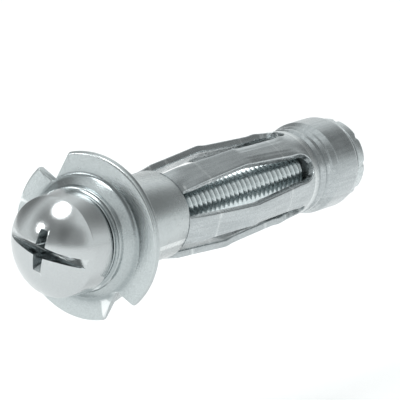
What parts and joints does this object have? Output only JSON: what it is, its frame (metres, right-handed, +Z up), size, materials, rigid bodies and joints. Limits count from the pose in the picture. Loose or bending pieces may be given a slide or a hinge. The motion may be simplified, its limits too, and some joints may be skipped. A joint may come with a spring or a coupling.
{
  "type": "hollow wall anchor",
  "caption": "Zinc-plated collapsing-sleeve wall anchor: notched flange, slotted folding legs, crimped end ring and nut, on a pan-head screw.",
  "frame": {"origin": "on the anchor's axis, in the plane of the flange's rear face, which bears on the wall, at the mouth of the hole that holds the anchor", "axes": "+Y along the axis into the wall, so the screw head is on the -Y side; +Z up"},
  "size_m": [0.0204, 0.0673, 0.0204],
  "materials": {
    "sleeve_zinc": "bright zinc plating on pressed sheet steel, satin with fine sparkle on the flange",
    "nut_zinc": "bright zinc plating on turned steel",
    "screw_zinc": "smooth bright zinc plating on a cold-headed, rolled-thread screw"
  },
  "bodies": {
    "sleeve_front": {"flange_and_collar": "sleeve_zinc"},
    "leg_1_front": {"leg_1_front": "sleeve_zinc"},
    "leg_1_rear": {"leg_1_rear": "sleeve_zinc"},
    "foot_1": {"end_ring_1": "sleeve_zinc", "nut": "nut_zinc"},
    "leg_2_front": {"leg_2_front": "sleeve_zinc"},
    "leg_2_rear": {"leg_2_rear": "sleeve_zinc"},
    "foot_2": {"end_ring_2": "sleeve_zinc"},
    "leg_3_front": {"leg_3_front": "sleeve_zinc"},
    "leg_3_rear": {"leg_3_rear": "sleeve_zinc"},
    "foot_3": {"end_ring_3": "sleeve_zinc"},
    "leg_4_front": {"leg_4_front": "sleeve_zinc"},
    "leg_4_rear": {"leg_4_rear": "sleeve_zinc"},
    "foot_4": {"end_ring_4": "sleeve_zinc"},
    "leg_5_front": {"leg_5_front": "sleeve_zinc"},
    "leg_5_rear": {"leg_5_rear": "sleeve_zinc"},
    "foot_5": {"end_ring_5": "sleeve_zinc"},
    "screw": {"screw": "screw_zinc"}
  },
  "joints": [
    {"name": "screw_turn", "type": "hinge", "parent": "sleeve_front", "child": "screw", "pos_m": [0, 0, 0], "axis": [0, 1, 0], "range_deg": [0, 7920]},
    {"name": "leg_1_collar_fold", "type": "hinge", "parent": "sleeve_front", "child": "leg_1_front", "pos_m": [0.00308, 0.013, 0.00456], "axis": [0.829, 0, -0.5592], "range_deg": [0, 77]},
    {"name": "leg_1_knuckle_fold", "type": "hinge", "parent": "leg_1_front", "child": "leg_1_rear", "pos_m": [0.0031, 0.0271, 0.0046], "axis": [0.829, 0, -0.5592], "range_deg": [-154, 0]},
    {"name": "leg_1_ring_fold", "type": "hinge", "parent": "leg_1_rear", "child": "foot_1", "pos_m": [0.00308, 0.0412, 0.00456], "axis": [0.829, 0, -0.5592], "range_deg": [0, 77]},
    {"name": "leg_2_collar_fold", "type": "hinge", "parent": "sleeve_front", "child": "leg_2_front", "pos_m": [-0.00339, 0.013, 0.00433], "axis": [0.788, 0, 0.6157], "range_deg": [0, 77]},
    {"name": "leg_2_knuckle_fold", "type": "hinge", "parent": "leg_2_front", "child": "leg_2_rear", "pos_m": [-0.00342, 0.0271, 0.00437], "axis": [0.788, 0, 0.6157], "range_deg": [-154, 0]},
    {"name": "leg_2_ring_fold", "type": "hinge", "parent": "leg_2_rear", "child": "foot_2", "pos_m": [-0.00339, 0.0412, 0.00433], "axis": [0.788, 0, 0.6157], "range_deg": [0, 77]},
    {"name": "leg_3_collar_fold", "type": "hinge", "parent": "sleeve_front", "child": "leg_3_front", "pos_m": [-0.00517, 0.013, -0.00188], "axis": [-0.342, 0, 0.9397], "range_deg": [0, 77]},
    {"name": "leg_3_knuckle_fold", "type": "hinge", "parent": "leg_3_front", "child": "leg_3_rear", "pos_m": [-0.00522, 0.0271, -0.0019], "axis": [-0.342, 0, 0.9397], "range_deg": [-154, 0]},
    {"name": "leg_3_ring_fold", "type": "hinge", "parent": "leg_3_rear", "child": "foot_3", "pos_m": [-0.00517, 0.0412, -0.00188], "axis": [-0.342, 0, 0.9397], "range_deg": [0, 77]},
    {"name": "leg_4_collar_fold", "type": "hinge", "parent": "sleeve_front", "child": "leg_4_front", "pos_m": [0.00019, 0.013, -0.0055], "axis": [-0.9994, 0, -0.0349], "range_deg": [0, 77]},
    {"name": "leg_4_knuckle_fold", "type": "hinge", "parent": "leg_4_front", "child": "leg_4_rear", "pos_m": [0.00019, 0.0271, -0.00555], "axis": [-0.9994, 0, -0.0349], "range_deg": [-154, 0]},
    {"name": "leg_4_ring_fold", "type": "hinge", "parent": "leg_4_rear", "child": "foot_4", "pos_m": [0.00019, 0.0412, -0.0055], "axis": [-0.9994, 0, -0.0349], "range_deg": [0, 77]},
    {"name": "leg_5_collar_fold", "type": "hinge", "parent": "sleeve_front", "child": "leg_5_front", "pos_m": [0.00529, 0.013, -0.00152], "axis": [-0.2756, 0, -0.9613], "range_deg": [0, 77]},
    {"name": "leg_5_knuckle_fold", "type": "hinge", "parent": "leg_5_front", "child": "leg_5_rear", "pos_m": [0.00534, 0.0271, -0.00153], "axis": [-0.2756, 0, -0.9613], "range_deg": [-154, 0]},
    {"name": "leg_5_ring_fold", "type": "hinge", "parent": "leg_5_rear", "child": "foot_5", "pos_m": [0.00529, 0.0412, -0.00152], "axis": [-0.2756, 0, -0.9613], "range_deg": [0, 77]}
  ],
  "couplings": [
    {"joint": "leg_1_collar_fold", "follows": "screw_turn", "ratio": 0.0097222},
    {"joint": "leg_1_knuckle_fold", "follows": "screw_turn", "ratio": -0.019444},
    {"joint": "leg_1_ring_fold", "follows": "screw_turn", "ratio": 0.0097222},
    {"joint": "leg_2_collar_fold", "follows": "screw_turn", "ratio": 0.0097222},
    {"joint": "leg_2_knuckle_fold", "follows": "screw_turn", "ratio": -0.019444},
    {"joint": "leg_2_ring_fold", "follows": "screw_turn", "ratio": 0.0097222},
    {"joint": "leg_3_collar_fold", "follows": "screw_turn", "ratio": 0.0097222},
    {"joint": "leg_3_knuckle_fold", "follows": "screw_turn", "ratio": -0.019444},
    {"joint": "leg_3_ring_fold", "follows": "screw_turn", "ratio": 0.0097222},
    {"joint": "leg_4_collar_fold", "follows": "screw_turn", "ratio": 0.0097222},
    {"joint": "leg_4_knuckle_fold", "follows": "screw_turn", "ratio": -0.019444},
    {"joint": "leg_4_ring_fold", "follows": "screw_turn", "ratio": 0.0097222},
    {"joint": "leg_5_collar_fold", "follows": "screw_turn", "ratio": 0.0097222},
    {"joint": "leg_5_knuckle_fold", "follows": "screw_turn", "ratio": -0.019444},
    {"joint": "leg_5_ring_fold", "follows": "screw_turn", "ratio": 0.0097222}
  ]
}
